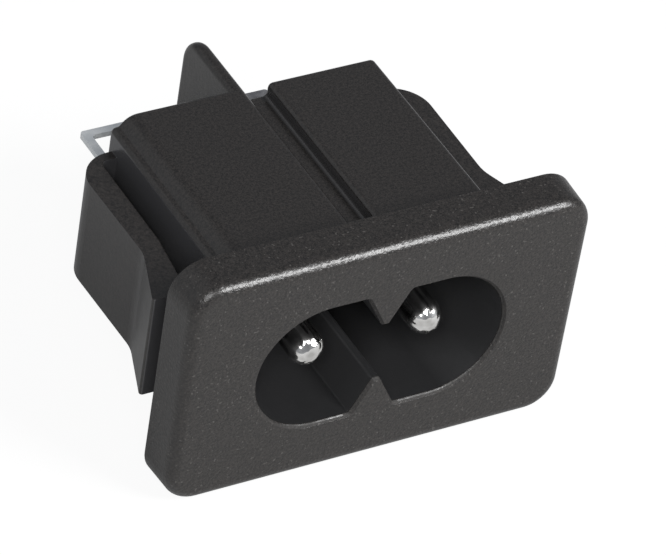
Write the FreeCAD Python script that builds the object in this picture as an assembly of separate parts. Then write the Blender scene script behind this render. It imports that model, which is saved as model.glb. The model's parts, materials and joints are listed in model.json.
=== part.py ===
"""Figure-eight panel socket: a snap-in two-pole inlet with riveted pins and solder tags.

Millimetres. +X is right as seen from the front, -Y is the front, +Z is up. The origin is the middle of
the flange's back face, where it seats on the panel.
"""
import FreeCAD, Part
import os
from math import cos, radians, sin, tan

Vector = FreeCAD.Vector

# Flange
FLANGE_WIDTH = 28.8
FLANGE_HEIGHT = 17.6
FLANGE_THICKNESS = 3.0
FLANGE_CORNER_RADIUS = 2.4
FLANGE_DRAFT = 0.15            # each side of the front is this much smaller than the back
FLANGE_FRONT_RADIUS = 0.8

# Figure-eight recess
RECESS_WIDTH = 17.7
RECESS_HEIGHT = 9.4
RECESS_DEPTH = 11.6
RECESS_RIM_CHAMFER = 0.2
NOTCH_WIDTH = 3.2
NOTCH_DEPTH = 2.5
NOTCH_TIP_WIDTH = 0.5          # the tip of each wedge is flat
NOTCH_TIP_RADIUS = 0.25
NOTCH_ROOT_RADIUS = 0.2

# Block behind the flange
BLOCK_WIDTH = 19.2
BLOCK_HEIGHT = 12.4
BLOCK_LENGTH = 17.05
BLOCK_EDGE_RADIUS = 0.4
BLOCK_REAR_RADIUS = 0.3
CROWN_RADIUS = 1.5             # the left edges fall away in a crown, and a lip stands beside it
CROWN_ANGLE = 56               # degrees that the crown turns through
VALLEY_RADIUS = 0.2            # between the crown and the lip
LIP_WIDTH = 0.55
LIP_RADIUS = 0.4

# Channel in the top of the block, beside the barrier
CHANNEL_WIDTH = 1.7
CHANNEL_DEPTH = 1.0
CHANNEL_FOOT_RADIUS = 0.3

# Barrier between the solder tags
BARRIER_MIDDLE_X = -0.55
BARRIER_THICKNESS = 1.0
BARRIER_FLAT = 0.1             # left flat on its rounded edge
BARRIER_LENGTH = 6.4           # behind the block
BARRIER_CORNER_RADIUS = 1.9

# Snap arms: hairpins that start at the block's rear and end in a wedge behind the panel
ARM_GAP = 1.2
ARM_REAR_THICKNESS = 1.7
ARM_FRONT_THICKNESS = 1.5      # where the wedge starts
ARM_HEIGHT = 7.8
ARM_WEB = 0.7
ARM_INSET = 0.6                # rear of the arm in front of the block's rear
ARM_REAR_RADIUS = 2.6
ARM_INNER_RADIUS = 0.5
FLARE_START = 7.6              # from here forward the inside leans away from the block
FLARE_RISE = 0.6
WEDGE_FRONT = 2.45             # panel slot between the flange and the wedge
WEDGE_START = 6.7
WEDGE_RISE = 1.55
WEDGE_BEND_RADIUS = 3.0
WEDGE_TIP_RADIUS = 0.2

# Contact pins
PIN_PITCH = 8.6
PIN_DIAMETER = 2.4
PIN_SETBACK = 1.2              # tip behind the flange's front face
PIN_TIP_RADIUS = 1.0
PIN_COLLAR_DIAMETER = 3.4
PIN_COLLAR_THICKNESS = 0.8
PIN_TAIL_DIAMETER = 1.7
RIVET_DIAMETER = 2.2
RIVET_TOP_DIAMETER = 1.4
RIVET_HEIGHT = 0.5

# Solder tags
TAG_THICKNESS = 0.4
TAG_WIDTH = 5.4
TAG_LENGTH = 8.0               # behind the block
TAG_ABOVE_PIN = 2.2            # from the pin's axis up to the top of the riveted end
TAG_BEND_RADIUS = 0.5          # inside of the bend
TAG_CORNER_RADIUS = 0.25
TAG_FRAME = 0.6                # metal left round the window
TAG_WINDOW_LENGTH = 3.6
TAG_WINDOW_RADIUS = 0.3
TAG_SEAT_DEPTH = 0.3           # how deep the tag sits in the block's rear face

# Clearances
PIN_CLEARANCE = 0.03           # round the pin in its bore
TAIL_CLEARANCE = 0.03          # round the pin's tail in the tag
SEAT_CLEARANCE = 0.1           # round the tag in its seat
RIVET_CLEARANCE = 0.1          # from the rivet head to the bend of the tag

# Lengths that only make the solids meet or cut cleanly
FUSE_DEPTH = 0.5
CUT_MARGIN = 1.0
TOLERANCE = 1e-6

# Places that several features share
FRONT_Y = -FLANGE_THICKNESS
FLOOR_Y = RECESS_DEPTH - FLANGE_THICKNESS
SEAT_Y = BLOCK_LENGTH - TAG_SEAT_DEPTH
TAB_Z = -(RIVET_DIAMETER / 2 + RIVET_CLEARANCE + TAG_BEND_RADIUS)
BLOCK_SIDE = BLOCK_WIDTH / 2
BLOCK_TOP = BLOCK_HEIGHT / 2
BARRIER_EDGE_RADIUS = (BARRIER_THICKNESS - BARRIER_FLAT) / 2
SIDES = {"left": -1, "right": 1}


def line(start, end):
    return Part.LineSegment(start, end).toShape()


def arc(start, middle, end):
    return Part.Arc(start, middle, end).toShape()


def rounded_wire(points, radii):
    """Closed outline through the points in turn, each rounded to its own radius, 0 for a sharp one."""
    count = len(points)
    ends = []
    middles = []
    for i in range(count):
        if radii[i] == 0:
            ends.append((points[i], points[i]))
            middles.append(points[i])
            continue
        back = (points[i - 1] - points[i]).normalize()
        ahead = (points[(i + 1) % count] - points[i]).normalize()
        half_angle = back.getAngle(ahead) / 2
        trim = radii[i] / tan(half_angle)
        ends.append((points[i] + back * trim, points[i] + ahead * trim))
        inward = (back + ahead).normalize()
        middles.append(points[i] + inward * (radii[i] / sin(half_angle) - radii[i]))
    edges = []
    for i in range(count):
        if radii[i] > 0:
            edges.append(arc(ends[i][0], middles[i], ends[i][1]))
        leave = ends[i][1]
        arrive = ends[(i + 1) % count][0]
        if leave.distanceToPoint(arrive) > TOLERANCE:
            edges.append(line(leave, arrive))
    return Part.Wire(edges)


def prism(wire, direction):
    return Part.Face(wire).extrude(direction)


def flange():
    """Plate whose drafted and rounded edge profile runs along each side and turns about each corner."""
    x = FLANGE_WIDTH / 2 - FLANGE_CORNER_RADIUS
    z = FLANGE_HEIGHT / 2 - FLANGE_CORNER_RADIUS
    edge = Part.Face(rounded_wire(
        [Vector(0, 0, 0), Vector(FLANGE_CORNER_RADIUS, 0, 0),
         Vector(FLANGE_CORNER_RADIUS - FLANGE_DRAFT, FRONT_Y, 0), Vector(0, FRONT_Y, 0)],
        [0, 0, FLANGE_FRONT_RADIUS, 0]))
    corners = [Vector(x, 0, -z), Vector(x, 0, z), Vector(-x, 0, z), Vector(-x, 0, -z)]
    forward = Vector(0, -1, 0)
    pieces = []
    for turn in range(4):
        rotation = FreeCAD.Rotation(forward, 90 * turn)
        start = corners[turn]
        end = corners[(turn + 1) % 4]
        side = edge.extrude(Vector(0, 0, start.distanceToPoint(end)))
        side.Placement = FreeCAD.Placement(start, rotation)
        corner = edge.revolve(Vector(0, 0, 0), forward, 90)
        corner.Placement = FreeCAD.Placement(end, rotation)
        pieces += [side, corner]
    middle = Part.makeBox(2 * x, FLANGE_THICKNESS, 2 * z, Vector(-x, FRONT_Y, -z))
    return middle.fuse(pieces).removeSplitter()


def block():
    """Block with a crown and a lip on its left edges, a channel in its top and a rounded rear."""
    start_y = -FUSE_DEPTH
    turn = radians(CROWN_ANGLE)
    crown_trim = CROWN_RADIUS * tan(turn / 2)
    valley_trim = VALLEY_RADIUS * tan(turn / 2)
    slope = crown_trim + valley_trim
    valley_x = -BLOCK_SIDE + LIP_WIDTH
    crown_x = valley_x + slope * cos(turn)
    lip_z = BLOCK_TOP - slope * sin(turn)
    lip_radius = min(LIP_RADIUS, LIP_WIDTH - valley_trim)
    channel_left = BARRIER_MIDDLE_X + BARRIER_THICKNESS / 2
    channel_right = channel_left + CHANNEL_WIDTH
    channel_z = BLOCK_TOP - CHANNEL_DEPTH
    corners = [(crown_x, BLOCK_TOP, CROWN_RADIUS),
               (channel_left, BLOCK_TOP, BARRIER_EDGE_RADIUS),
               (channel_left, channel_z, CHANNEL_FOOT_RADIUS),
               (channel_right, channel_z, CHANNEL_FOOT_RADIUS),
               (channel_right, BLOCK_TOP, BLOCK_EDGE_RADIUS),
               (BLOCK_SIDE, BLOCK_TOP, BLOCK_EDGE_RADIUS),
               (BLOCK_SIDE, -BLOCK_TOP, BLOCK_EDGE_RADIUS),
               (crown_x, -BLOCK_TOP, CROWN_RADIUS),
               (valley_x, -lip_z, VALLEY_RADIUS),
               (-BLOCK_SIDE, -lip_z, lip_radius),
               (-BLOCK_SIDE, lip_z, lip_radius),
               (valley_x, lip_z, VALLEY_RADIUS)]
    points = [Vector(x, start_y, z) for x, z, radius in corners]
    radii = [radius for x, z, radius in corners]
    body = prism(rounded_wire(points, radii), Vector(0, BLOCK_LENGTH - start_y, 0))
    rear_edges = [e for e in body.Edges if e.BoundBox.YMin > BLOCK_LENGTH - TOLERANCE]
    return body.makeFillet(BLOCK_REAR_RADIUS, rear_edges)


def barrier():
    """Plate with round edges that stands out behind the block."""
    x = BARRIER_MIDDLE_X - BARRIER_THICKNESS / 2
    front_y = BLOCK_LENGTH - FUSE_DEPTH
    rear_y = BLOCK_LENGTH + BARRIER_LENGTH
    outline = rounded_wire(
        [Vector(x, front_y, BLOCK_TOP), Vector(x, rear_y, BLOCK_TOP),
         Vector(x, rear_y, -BLOCK_TOP), Vector(x, front_y, -BLOCK_TOP)],
        [0, BARRIER_CORNER_RADIUS, BARRIER_CORNER_RADIUS, 0])
    plate = prism(outline, Vector(BARRIER_THICKNESS, 0, 0))
    free_edges = [e for e in plate.Edges
                  if e.BoundBox.XLength < TOLERANCE and e.BoundBox.YMax > BLOCK_LENGTH]
    return plate.makeFillet(BARRIER_EDGE_RADIUS, free_edges)


def snap_arm(side):
    """Hairpin arm: a thin web off the block's rear, a long spring and a wedge at its free front end."""
    inner = BLOCK_SIDE + ARM_GAP
    outer_rear = inner + ARM_REAR_THICKNESS
    outer_front = inner + ARM_FRONT_THICKNESS
    root = BLOCK_SIDE - FUSE_DEPTH
    rear_y = BLOCK_LENGTH - ARM_INSET
    bottom = -ARM_HEIGHT / 2

    def at(x, y):
        return Vector(side * x, y, bottom)

    outline = rounded_wire(
        [at(root, rear_y), at(outer_rear, rear_y),
         at(outer_front, WEDGE_START), at(outer_front + WEDGE_RISE, WEDGE_FRONT),
         at(inner + FLARE_RISE, WEDGE_FRONT), at(inner, FLARE_START),
         at(inner, rear_y - ARM_WEB), at(root, rear_y - ARM_WEB)],
        [0, ARM_REAR_RADIUS,
         WEDGE_BEND_RADIUS, WEDGE_TIP_RADIUS,
         WEDGE_TIP_RADIUS, WEDGE_BEND_RADIUS,
         ARM_INNER_RADIUS, 0])
    return prism(outline, Vector(0, 0, ARM_HEIGHT))


def recess():
    """Two round pole openings run together, with a wedge pointing in from above and below."""
    y = FRONT_Y - CUT_MARGIN
    x = RECESS_WIDTH / 2
    z = RECESS_HEIGHT / 2
    root = NOTCH_WIDTH / 2
    tip = NOTCH_TIP_WIDTH / 2
    points = []
    radii = []
    for side in (1, -1):
        half = [(-x, z), (-root, z), (-tip, z - NOTCH_DEPTH), (tip, z - NOTCH_DEPTH), (root, z), (x, z)]
        points += [Vector(side * px, y, side * pz) for px, pz in half]
        radii += [z, NOTCH_ROOT_RADIUS, NOTCH_TIP_RADIUS, NOTCH_TIP_RADIUS, NOTCH_ROOT_RADIUS, z]
    return prism(rounded_wire(points, radii), Vector(0, FLOOR_Y - y, 0))


def cylinder(x, start_y, end_y, diameter):
    return Part.makeCylinder(diameter / 2, end_y - start_y, Vector(x, start_y, 0), Vector(0, 1, 0))


def pin_bore(x):
    shank = cylinder(x, FLOOR_Y - CUT_MARGIN, BLOCK_LENGTH, PIN_DIAMETER + 2 * PIN_CLEARANCE)
    collar = cylinder(x, FLOOR_Y - CUT_MARGIN, FLOOR_Y + PIN_COLLAR_THICKNESS,
                      PIN_COLLAR_DIAMETER + 2 * PIN_CLEARANCE)
    return shank.fuse(collar)


def tag_seat(x):
    width = TAG_WIDTH + 2 * SEAT_CLEARANCE
    bottom = TAB_Z - TAG_THICKNESS - SEAT_CLEARANCE
    top = TAG_ABOVE_PIN + SEAT_CLEARANCE
    corner = Vector(x - width / 2, SEAT_Y, bottom)
    return Part.makeBox(width, TAG_SEAT_DEPTH + CUT_MARGIN, top - bottom, corner)


def housing():
    shell = flange().fuse([block(), barrier(), snap_arm(-1), snap_arm(1)]).removeSplitter()
    shell = shell.cut(recess())
    for side in SIDES.values():
        x = side * PIN_PITCH / 2
        shell = shell.cut(pin_bore(x))
        shell = shell.cut(tag_seat(x))
    rim = [e for e in shell.Edges if abs(e.BoundBox.YMax - FRONT_Y) < TOLERANCE
           and abs(e.BoundBox.YMin - FRONT_Y) < TOLERANCE
           and e.BoundBox.XLength < RECESS_WIDTH and abs(e.CenterOfMass.x) < RECESS_WIDTH / 2 + TOLERANCE
           and abs(e.CenterOfMass.z) < RECESS_HEIGHT / 2 + TOLERANCE]
    return shell.makeChamfer(RECESS_RIM_CHAMFER, rim)


def pin(side):
    """Turned pin: round nose, collar in the recess floor, and a tail riveted over behind the tag."""
    x = side * PIN_PITCH / 2
    shank = PIN_DIAMETER / 2
    collar = PIN_COLLAR_DIAMETER / 2
    tail = PIN_TAIL_DIAMETER / 2
    rivet = RIVET_DIAMETER / 2
    rivet_top = RIVET_TOP_DIAMETER / 2
    collar_end = FLOOR_Y + PIN_COLLAR_THICKNESS
    rivet_y = SEAT_Y + TAG_THICKNESS
    profile = [(0, FRONT_Y + PIN_SETBACK), (shank, FRONT_Y + PIN_SETBACK),
               (shank, FLOOR_Y), (collar, FLOOR_Y),
               (collar, collar_end), (shank, collar_end),
               (shank, SEAT_Y), (tail, SEAT_Y),
               (tail, rivet_y), (rivet, rivet_y),
               (rivet_top, rivet_y + RIVET_HEIGHT), (0, rivet_y + RIVET_HEIGHT)]
    radii = [0] * len(profile)
    radii[1] = PIN_TIP_RADIUS
    outline = rounded_wire([Vector(x + r, y, 0) for r, y in profile], radii)
    return Part.Face(outline).revolve(Vector(x, 0, 0), Vector(0, 1, 0), 360)


def solder_tag(side):
    """Strip bent at a right angle: one end riveted on the pin, the other a tab with a window."""
    x = side * PIN_PITCH / 2
    left = x - TAG_WIDTH / 2
    lower = TAB_Z - TAG_THICKNESS
    base_y = SEAT_Y + TAG_THICKNESS
    end_y = BLOCK_LENGTH + TAG_LENGTH

    def at(y, z):
        return Vector(left, y, z)

    strip = prism(rounded_wire(
        [at(SEAT_Y, TAG_ABOVE_PIN), at(base_y, TAG_ABOVE_PIN), at(base_y, TAB_Z),
         at(end_y, TAB_Z), at(end_y, lower), at(SEAT_Y, lower)],
        [0, 0, TAG_BEND_RADIUS, 0, 0, TAG_BEND_RADIUS + TAG_THICKNESS]), Vector(TAG_WIDTH, 0, 0))
    corners = [e for e in strip.Edges if e.BoundBox.XLength < TOLERANCE and (
        (e.BoundBox.YMin > end_y - TOLERANCE) or (e.BoundBox.ZMin > TAG_ABOVE_PIN - TOLERANCE))]
    strip = strip.makeFillet(TAG_CORNER_RADIUS, corners)
    window_y = end_y - TAG_FRAME
    window_x = TAG_WIDTH / 2 - TAG_FRAME
    cut_z = lower - CUT_MARGIN
    window = prism(rounded_wire(
        [Vector(x - window_x, window_y, cut_z), Vector(x + window_x, window_y, cut_z),
         Vector(x + window_x, window_y - TAG_WINDOW_LENGTH, cut_z),
         Vector(x - window_x, window_y - TAG_WINDOW_LENGTH, cut_z)],
        [TAG_WINDOW_RADIUS] * 4), Vector(0, 0, TAG_THICKNESS + 2 * CUT_MARGIN))
    hole = cylinder(x, SEAT_Y - CUT_MARGIN, base_y + CUT_MARGIN, PIN_TAIL_DIAMETER + 2 * TAIL_CLEARANCE)
    return strip.cut(window).cut(hole)


def main():
    pieces = {"housing": housing()}
    for name, side in SIDES.items():
        pieces[name + "_pin"] = pin(side)
        pieces[name + "_solder_tag"] = solder_tag(side)
    os.makedirs("parts", exist_ok=True)
    for name, shape in pieces.items():
        shape.exportStep("parts/" + name + ".step")
        print(name, "solids", len(shape.Solids), "valid", shape.isValid(), "volume %.2f" % shape.Volume)


main()
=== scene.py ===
"""Studio scene of a figure-eight panel socket, seen from its front left and from above."""
import json
from math import radians

import bpy
from mathutils import Matrix, Vector


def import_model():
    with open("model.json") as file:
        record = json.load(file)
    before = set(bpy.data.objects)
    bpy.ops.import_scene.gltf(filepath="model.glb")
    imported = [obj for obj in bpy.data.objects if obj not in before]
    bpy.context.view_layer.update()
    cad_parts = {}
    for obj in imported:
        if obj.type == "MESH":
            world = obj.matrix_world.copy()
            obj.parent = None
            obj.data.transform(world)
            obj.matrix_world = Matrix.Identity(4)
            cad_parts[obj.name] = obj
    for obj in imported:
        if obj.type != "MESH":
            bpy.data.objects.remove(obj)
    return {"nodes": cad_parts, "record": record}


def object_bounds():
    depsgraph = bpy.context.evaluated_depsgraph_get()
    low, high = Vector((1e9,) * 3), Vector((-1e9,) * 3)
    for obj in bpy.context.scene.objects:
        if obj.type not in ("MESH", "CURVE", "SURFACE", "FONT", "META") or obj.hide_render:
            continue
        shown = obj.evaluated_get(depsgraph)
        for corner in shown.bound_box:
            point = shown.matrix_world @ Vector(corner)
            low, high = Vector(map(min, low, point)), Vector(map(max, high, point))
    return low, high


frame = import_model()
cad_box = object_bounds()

MM = 0.001
WHITE = (1, 1, 1, 1)

# Camera, in millimetres
CAMERA_PLACE = Vector((-142.765, -201.224, 205.05))
CAMERA_AIM = Vector((-2.525, 0, 4.475))
CAMERA_ROLL = 9.725            # degrees, the picture's top leans left
CAMERA_LENS = 275.96
CAMERA_NEAREST = 10
SENSOR_WIDTH = 36.0

# Floor and sky
FLOOR_SIZE = 4.0               # metres
FLOOR_GAP = 0.05               # millimetres under the part
FLOOR_COLOUR = (0.45, 0.45, 0.45, 1)
FLOOR_SEEN_COLOUR = (0.95, 0.95, 0.95, 1)
FLOOR_WHITENING = 0.93         # share of plain white that a viewer sees, so that a soft shadow stays
MIRRORED_WHITENING = 0.15      # the same share where a glossy face mirrors the floor
WORLD_COLOUR = (0.22, 0.23, 0.25, 1)
SKY_WHITENING = 0.95           # share of plain white that a viewer sees above the floor
MIRRORED_SKY_WHITENING = 0.03

# Square white lamps, in millimetres: a key at the right, a fill at the left, a weak one by the camera
KEY_DIRECTION = Vector((0.44, -0.63, 0.64))
KEY_DISTANCE = 450
KEY_SIZE = 170
KEY_WATTS = 2.5
FILL_DIRECTION = Vector((-0.8, 0.35, 0.6))
FILL_DISTANCE = 600
FILL_SIZE = 800
FILL_WATTS = 0.55
FRONT_DIRECTION = Vector((-0.445, -0.627, 0.639))
FRONT_DISTANCE = 450
FRONT_SIZE = 150
FRONT_WATTS = 0.8

# Where the moulding's finishes and its painted lifts of shade meet, in millimetres
FLANGE_BACK = 0.05
RECESS_FRONT = -2.75           # behind the chamfered rim
RECESS_FLOOR = 8.65
RECESS_END_X = 4.15            # centre of the round ends of the recess
RECESS_REACH = 4.85            # a little more than the radius of those ends
RECESS_SHADE_Z = -1.5          # the recess's painted lift of shade grows above this height
RIM_FRONT = -2.99              # just behind the flange's face
RIM_REACH = 4.95               # a little more than the chamfer's reach
RIM_POLISH_Y = -2.875          # the chamfer's inner edge shines, behind this depth
RIM_POLISH_X = 2.0             # and beside the notches
# bounds of the painted lift of shade on the flanks, in the panel's slot and on the channel's wall
LIFT_INNER_X = 9.5          # just inside the block's flanks
LIFT_OUTER_X = 10.82        # just past the inner faces of the snap arms
LIFT_TOP = 5.15             # under the block's lip
SLOT_BACK = 2.5                # front of the wedges, behind the panel's slot
CHANNEL_MIDDLE_X = 0.8
CHANNEL_WALL_X = 1.75          # just past the channel's right wall
CHANNEL_WALL_TOP = 5.94        # low on the rounded edge of that wall
CHANNEL_FLOOR_Z = 5.1

# Parts of a face's normal that tell which way it looks
LEFT_FACING = (-0.7, -0.2)     # along X, from a face that looks left to one that doesn't
UPRIGHT_LIMIT = 0.5            # along Z, up or down, less on an upright face
PIN_END_FACING = (0.9, 1.0)    # along Y, from the side of a pin to its ends

# Black plastic, patterns in millimetres
PLASTIC_DARK = (0.0045, 0.0039, 0.0035, 1)
PLASTIC_PALE = (0.0255, 0.0221, 0.0199, 1)
# painted glints: pale specks in the colour that stand in for the grain's sparkle
PAINTED_GLINT_COLOUR = (0.06, 0.056, 0.052, 1)
# painted lift of the shade on the flanks behind the arms, in the panel's slot and on the channel's wall
PAINTED_LIFT_COLOUR = (0.058, 0.0575, 0.06, 1)
CHANNEL_LIFT_SHARE = 0.5         # share of the painted lift of shade on the channel's wall
# painted lift of the recess's shade: paler higher up and on walls that face left, away from the key
RECESS_LOW_COLOUR = (0.018, 0.018, 0.0187, 1)
RECESS_LIFTED_HIGH_COLOUR = (0.15, 0.15, 0.1538, 1)
RECESS_LIFTED_LEFT_COLOUR = (0.042, 0.042, 0.0432, 1)
FLANGE_ROUGHNESS = (0.3, 0.38)
BLOCK_ROUGHNESS = (0.275, 0.305)
RECESS_ROUGHNESS = 0.3
RIM_ROUGHNESS = 0.75
RIM_POLISH_ROUGHNESS = 0.3
PLASTIC_IOR = 1.58
GRAIN_SIZE = 0.2
GRAIN_DEPTH = 0.014
SPECK_SIZE = 0.09
SPECK_SHARE = 0.6              # share of the fine specks in the speckle, the rest is grain
SPECKLE_RANGE = (0.2, 0.8)
PAINTED_GLINT_SIZE = 0.17
PAINTED_GLINT_RANGE = (0.73, 0.83)     # only the highest peaks of the noise get a painted glint
MOTTLE_SIZE = 1.2
SATIN_SIZE = 0.35
SATIN_DEPTH = 0.004
EDGE_SOFTENING = 0.08
EDGE_SAMPLES = 8

# Nickel plate, patterns in millimetres
NICKEL_DARK = (0.6, 0.59, 0.57, 1)
NICKEL_BRIGHT = (0.9, 0.89, 0.87, 1)
NICKEL_ROUGHNESS = (0.1, 0.24)
STREAK_SIZE = 0.55
STREAK_DEPTH = 0.08
STREAK_STRETCH = (1, 0.12, 1)  # draws the streaks out along the pin

# Tin plate, patterns in millimetres
TIN_DARK = (0.8, 0.83, 0.845, 1)
TIN_BRIGHT = (0.87, 0.885, 0.89, 1)
# painted shade on the right tag's end
TAG_SHADE_DARK = (0.16, 0.16, 0.17, 1)
TAG_SHADE_PALE = (0.34, 0.34, 0.35, 1)
TAG_SHADE_START = 23.0           # painted shade darkens the right tag from here to its end
TAG_SHADE_FULL = 24.3
TIN_METALLIC = 0.9
TIN_ROUGHNESS = (0.6, 0.72)
TIN_BLOTCH_SIZE = 0.9
TIN_MARK_SIZE = 0.25
TIN_MARK_DEPTH = 0.006

# Nodes
NOISE_RANGE = (0.3, 0.7)       # most of a noise lies between these
MIX_FIRST = 6                  # the colour sockets of a mix node go by number,
MIX_SECOND = 7                 # because its number sockets have the same names
MIX_RESULT = 2


class Tree:
    """Short calls for the node tree of a material or world."""

    def __init__(self, owner):
        self.nodes = owner.node_tree.nodes
        self.links = owner.node_tree.links

    def plug(self, node, key, value):
        """Link one input of a node, or set it."""
        socket = node.inputs[key]
        if isinstance(value, bpy.types.NodeSocket):
            self.links.new(value, socket)
        else:
            socket.default_value = value

    def feed(self, node, **inputs):
        """Link or set inputs by their names, with _ for a space."""
        for key, value in inputs.items():
            self.plug(node, key.replace("_", " "), value)

    def add(self, kind, settings=None, **inputs):
        node = self.nodes.new("ShaderNode" + kind)
        for key, value in (settings or {}).items():
            setattr(node, key, value)
        self.feed(node, **inputs)
        return node

    def math(self, operation, first, second=0.0):
        node = self.add("Math", {"operation": operation})
        self.plug(node, 0, first)
        self.plug(node, 1, second)
        return node.outputs[0]

    def over(self, length, limit_mm):
        """1 where the length is more than the limit, 0 elsewhere."""
        return self.math("GREATER_THAN", length, limit_mm * MM)

    def under(self, length, limit_mm):
        """1 where the length is less than the limit, 0 elsewhere."""
        return self.math("LESS_THAN", length, limit_mm * MM)

    def all_of(self, condition, *others):
        """The product of conditions, 1 where every one of them holds."""
        for other in others:
            condition = self.math("MULTIPLY", condition, other)
        return condition

    def opposite(self, condition):
        """1 where the condition doesn't hold, 0 where it does."""
        return self.math("SUBTRACT", 1.0, condition)

    def axes(self, vector):
        """The vector's X, Y and Z."""
        node = self.add("SeparateXYZ", Vector=vector)
        return [node.outputs[name] for name in "XYZ"]

    def noise(self, place, size_mm, detail=2.0, between=NOISE_RANGE):
        """Noise with blobs about size_mm across, its values in between carried to 0 to 1."""
        node = self.add("TexNoise", Vector=place, Scale=1 / (size_mm * MM), Detail=detail)
        return self.span(node.outputs["Fac"], 0, 1, *between)

    def span(self, value, low, high, from_low=0, from_high=1):
        """The value carried from one range to another."""
        node = self.add("MapRange", Value=value, From_Min=from_low, From_Max=from_high,
                        To_Min=low, To_Max=high)
        return node.outputs["Result"]

    def blend(self, factor, first, second):
        """Number between first and second."""
        return self.add("Mix", Factor=factor, A=first, B=second).outputs["Result"]

    def colour(self, factor, first, second):
        """Colour between first and second."""
        node = self.add("Mix", {"data_type": "RGBA"}, Factor=factor)
        self.plug(node, MIX_FIRST, first)
        self.plug(node, MIX_SECOND, second)
        return node.outputs[MIX_RESULT]

    def bump(self, height, depth_mm, **inputs):
        """Normal of a face with this height on it."""
        return self.add("Bump", Height=height, Distance=depth_mm * MM, **inputs).outputs["Normal"]

    def white_share(self, seen, mirrored):
        """How much plain white a ray meets: one share for the camera, one for glossy and glass rays."""
        path = self.add("LightPath").outputs
        indirect = self.math("MAXIMUM", path["Is Glossy Ray"], path["Is Transmission Ray"])
        return self.math("MAXIMUM", self.math("MULTIPLY", path["Is Camera Ray"], seen),
                         self.math("MULTIPLY", indirect, mirrored))


class Finish(Tree):
    """A new material and its node tree."""

    def __init__(self, name):
        self.material = bpy.data.materials.new(name)
        self.material.use_nodes = True
        super().__init__(self.material)
        self.shader = self.nodes["Principled BSDF"]
        self.output = self.nodes["Material Output"]

    def place(self):
        """The point on the surface, in the part's frame."""
        return self.add("TexCoord").outputs["Object"]

    def normal(self):
        """The way that the surface looks."""
        return self.add("NewGeometry").outputs["Normal"]

    def shade(self, **inputs):
        """Link or set inputs of the material's shader."""
        self.feed(self.shader, **inputs)


def recess_masks(tree, x, y, z):
    """Two masks: 1 inside the recess, and 1 on its chamfered rim."""
    from_centre = tree.math("SUBTRACT", tree.math("ABSOLUTE", x), RECESS_END_X * MM)
    past_centre = tree.math("MAXIMUM", from_centre, 0.0)
    from_axis = tree.math("SQRT", tree.math("ADD", tree.math("MULTIPLY", past_centre, past_centre),
                                            tree.math("MULTIPLY", z, z)))
    within_walls = tree.under(from_axis, RECESS_REACH)
    behind_rim = tree.over(y, RECESS_FRONT)
    before_floor = tree.under(y, RECESS_FLOOR)
    within_rim = tree.under(from_axis, RIM_REACH)
    behind_face = tree.over(y, RIM_FRONT)
    before_walls = tree.opposite(behind_rim)
    return (tree.all_of(within_walls, behind_rim, before_floor),
            tree.all_of(within_rim, behind_face, before_walls))


def painted_lift_mask(tree, x, y, z, normal_z, facing_left):
    """Where shade is painted lighter: 1 on the flanks behind the snap arms and in the panel's slot, less
    on the channel's right wall.
    """
    side = tree.math("ABSOLUTE", x)
    beside_block = tree.over(side, LIFT_INNER_X)
    inside_arm = tree.under(side, LIFT_OUTER_X)
    in_slot = tree.under(y, SLOT_BACK)
    narrow = tree.math("MAXIMUM", inside_arm, in_slot)
    under_lip = tree.under(tree.math("ABSOLUTE", z), LIFT_TOP)
    upright = tree.math("LESS_THAN", tree.math("ABSOLUTE", normal_z), UPRIGHT_LIMIT)
    flanks = tree.all_of(beside_block, narrow, under_lip, upright)

    right_of_middle = tree.over(x, CHANNEL_MIDDLE_X)
    up_to_wall = tree.under(x, CHANNEL_WALL_X)
    above_floor = tree.over(z, CHANNEL_FLOOR_Z)
    below_edge = tree.under(z, CHANNEL_WALL_TOP)
    pale_left = tree.math("MULTIPLY", facing_left, CHANNEL_LIFT_SHARE)
    wall = tree.all_of(right_of_middle, up_to_wall, above_floor, below_edge, pale_left)

    behind_flange = tree.over(y, FLANGE_BACK)
    return tree.math("MULTIPLY", behind_flange, tree.math("MAXIMUM", flanks, wall))


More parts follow.
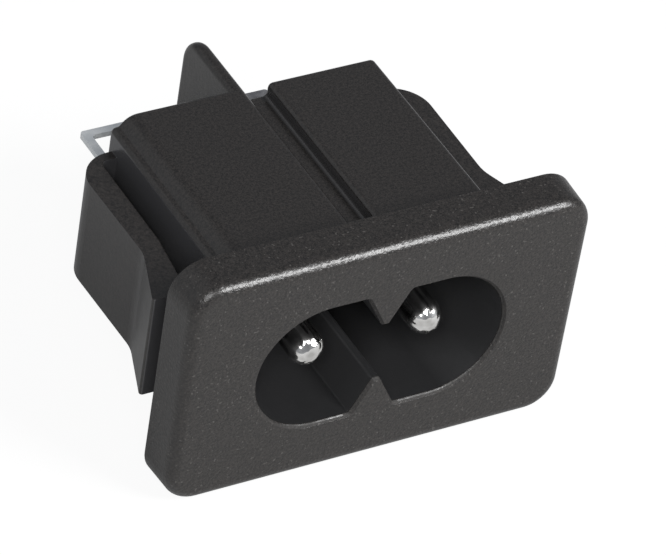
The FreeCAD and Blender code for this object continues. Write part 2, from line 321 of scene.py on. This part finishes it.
def black_plastic():
    """Black moulding: spark-eroded grain with a few painted glints on the flange, satin and mottled
    behind it.

    Its hollows are painted paler, a painted lift of their shade, and the rim of the recess is dull with
    a thin, broken shine on its inner edge.
    """
    tree = Finish("black_plastic")
    place = tree.place()
    x, y, z = tree.axes(place)
    normal_x, _, normal_z = tree.axes(tree.normal())
    facing_left = tree.span(normal_x, 1, 0, *LEFT_FACING)
    recessed, rim = recess_masks(tree, x, y, z)
    # mask of the painted lift of shade in the hollows
    painted_lift = painted_lift_mask(tree, x, y, z, normal_z, facing_left)
    open_flange = tree.math("SUBTRACT", tree.under(y, FLANGE_BACK), recessed)
    grained = tree.math("MAXIMUM", open_flange, 0.0)

    grain = tree.noise(place, GRAIN_SIZE)
    speck = tree.noise(place, SPECK_SIZE)
    mottle = tree.noise(place, MOTTLE_SIZE, detail=4)
    satin = tree.noise(place, SATIN_SIZE, detail=3)
    # painted glints on the flange's grain
    peaks = tree.noise(place, PAINTED_GLINT_SIZE, detail=0, between=PAINTED_GLINT_RANGE)

    speckle = tree.span(tree.blend(SPECK_SHARE, grain, speck), 0, 1, *SPECKLE_RANGE)
    plain = tree.colour(speckle, PLASTIC_DARK, PLASTIC_PALE)
    painted_glints = tree.colour(tree.all_of(peaks, grained), plain, PAINTED_GLINT_COLOUR)
    outside = tree.colour(painted_lift, painted_glints, PAINTED_LIFT_COLOUR)
    # painted lift of shade in the recess, higher up and on walls that face left
    height = tree.span(z, 0, 1, RECESS_SHADE_Z * MM, RECESS_REACH * MM)
    lifted_walls = tree.colour(height, RECESS_LOW_COLOUR, RECESS_LIFTED_HIGH_COLOUR)
    inside = tree.colour(facing_left, lifted_walls, RECESS_LIFTED_LEFT_COLOUR)
    tint = tree.colour(recessed, outside, inside)

    flange_roughness = tree.span(speck, *FLANGE_ROUGHNESS)
    block_roughness = tree.span(mottle, *BLOCK_ROUGHNESS)
    open_roughness = tree.blend(grained, block_roughness, flange_roughness)
    behind_rim = tree.blend(recessed, open_roughness, RECESS_ROUGHNESS)
    inner_edge = tree.over(y, RIM_POLISH_Y)
    off_notch = tree.over(tree.math("ABSOLUTE", x), RIM_POLISH_X)
    polish = tree.all_of(mottle, inner_edge, off_notch)
    rim_roughness = tree.blend(polish, RIM_ROUGHNESS, RIM_POLISH_ROUGHNESS)
    roughness = tree.blend(rim, behind_rim, rim_roughness)

    edges = tree.add("Bevel", {"samples": EDGE_SAMPLES}, Radius=EDGE_SOFTENING * MM)
    rough_face = tree.bump(tree.all_of(grain, grained), GRAIN_DEPTH, Normal=edges.outputs["Normal"])
    smooth = tree.opposite(grained)
    face = tree.bump(tree.all_of(satin, smooth), SATIN_DEPTH, Normal=rough_face)
    tree.shade(Base_Color=tint, Roughness=roughness, Normal=face, IOR=PLASTIC_IOR)
    return tree.material


def nickel():
    """Bright nickel plate, streaked along the pin."""
    tree = Finish("nickel")
    along = tree.add("Mapping", Vector=tree.place(), Scale=STREAK_STRETCH).outputs["Vector"]
    streak = tree.noise(along, STREAK_SIZE, detail=1)
    tint = tree.colour(streak, NICKEL_DARK, NICKEL_BRIGHT)
    _, normal_y, _ = tree.axes(tree.normal())
    off_end = tree.span(tree.math("ABSOLUTE", normal_y), 1, 0, *PIN_END_FACING)
    drawn = tree.all_of(streak, off_end)
    tree.shade(Base_Color=tint, Metallic=1.0, Roughness=tree.span(streak, *NICKEL_ROUGHNESS),
               Normal=tree.bump(drawn, STREAK_DEPTH))
    return tree.material


def tinned_brass():
    """Dull tin plate with soft blotches and fine rolling marks, with painted shade on the right tag's
    end.
    """
    tree = Finish("tinned_brass")
    place = tree.place()
    blotch = tree.noise(place, TIN_BLOTCH_SIZE, detail=4)
    bright = tree.colour(blotch, TIN_DARK, TIN_BRIGHT)
    # painted shade for the right tag's end
    painted_tag_shade = tree.colour(blotch, TAG_SHADE_DARK, TAG_SHADE_PALE)
    x, y, _ = tree.axes(place)
    right = tree.over(x, 0)
    end = tree.span(y, 0, 1, TAG_SHADE_START * MM, TAG_SHADE_FULL * MM)
    tint = tree.colour(tree.all_of(right, end), bright, painted_tag_shade)
    marks = tree.noise(place, TIN_MARK_SIZE, detail=3)
    tree.shade(Base_Color=tint, Metallic=TIN_METALLIC, Roughness=tree.span(blotch, *TIN_ROUGHNESS),
               Normal=tree.bump(marks, TIN_MARK_DEPTH))
    return tree.material


def dress():
    """Give each node the finish of its material slot."""
    finishes = {"black_plastic": black_plastic(), "nickel": nickel(), "tinned_brass": tinned_brass()}
    for part in frame["record"]["subparts"]:
        mesh = frame["nodes"][part["node"]].data
        mesh.materials.clear()
        mesh.materials.append(finishes[part["material_slot"]])


def floor():
    """Pale floor that the camera sees as white, with a soft shadow."""
    bpy.ops.mesh.primitive_plane_add(size=FLOOR_SIZE, location=(0, 0, cad_box[0].z - FLOOR_GAP * MM))
    plane = bpy.context.object
    plane.name = "floor"
    tree = Finish("floor")
    path = tree.add("LightPath").outputs
    tint = tree.colour(path["Is Camera Ray"], FLOOR_COLOUR, FLOOR_SEEN_COLOUR)
    tree.shade(Base_Color=tint, Roughness=1.0, Specular_IOR_Level=0.0)
    white = tree.add("Emission", Color=WHITE, Strength=1.0)
    mixed = tree.add("MixShader")
    tree.plug(mixed, 0, tree.white_share(FLOOR_WHITENING, MIRRORED_WHITENING))
    tree.plug(mixed, 1, tree.shader.outputs[0])
    tree.plug(mixed, 2, white.outputs[0])
    tree.plug(tree.output, "Surface", mixed.outputs[0])
    plane.data.materials.append(tree.material)


def world():
    """Grey sky that the camera sees as white."""
    sky = bpy.data.worlds.new("studio")
    sky.use_nodes = True
    tree = Tree(sky)
    white = tree.white_share(SKY_WHITENING, MIRRORED_SKY_WHITENING)
    tree.feed(tree.nodes["Background"], Color=tree.colour(white, WORLD_COLOUR, WHITE))
    bpy.context.scene.world = sky


def area_light(name, direction, distance, size, watts):
    """Square lamp that shines on the part's origin."""
    lamp = bpy.data.lights.new(name, "AREA")
    lamp.size = size * MM
    lamp.energy = watts
    holder = bpy.data.objects.new(name, lamp)
    holder.location = direction.normalized() * distance * MM
    holder.rotation_euler = direction.to_track_quat("Z", "Y").to_euler()
    bpy.context.collection.objects.link(holder)


def camera():
    """Camera at the viewing angle, rolled a little."""
    data = bpy.data.cameras.new("camera")
    data.lens = CAMERA_LENS
    data.sensor_width = SENSOR_WIDTH
    data.clip_start = CAMERA_NEAREST * MM
    holder = bpy.data.objects.new("camera", data)
    back = (CAMERA_PLACE - CAMERA_AIM).normalized()
    upright = back.to_track_quat("Z", "Y").to_matrix()
    turn = Matrix.Rotation(radians(CAMERA_ROLL), 3, "Z")
    holder.matrix_world = Matrix.Translation(CAMERA_PLACE * MM) @ (upright @ turn).to_4x4()
    bpy.context.collection.objects.link(holder)
    bpy.context.scene.camera = holder


dress()
floor()
world()
area_light("key", KEY_DIRECTION, KEY_DISTANCE, KEY_SIZE, KEY_WATTS)
area_light("fill", FILL_DIRECTION, FILL_DISTANCE, FILL_SIZE, FILL_WATTS)
area_light("front", FRONT_DIRECTION, FRONT_DISTANCE, FRONT_SIZE, FRONT_WATTS)
camera()
bpy.context.scene.view_settings.view_transform = "Standard"
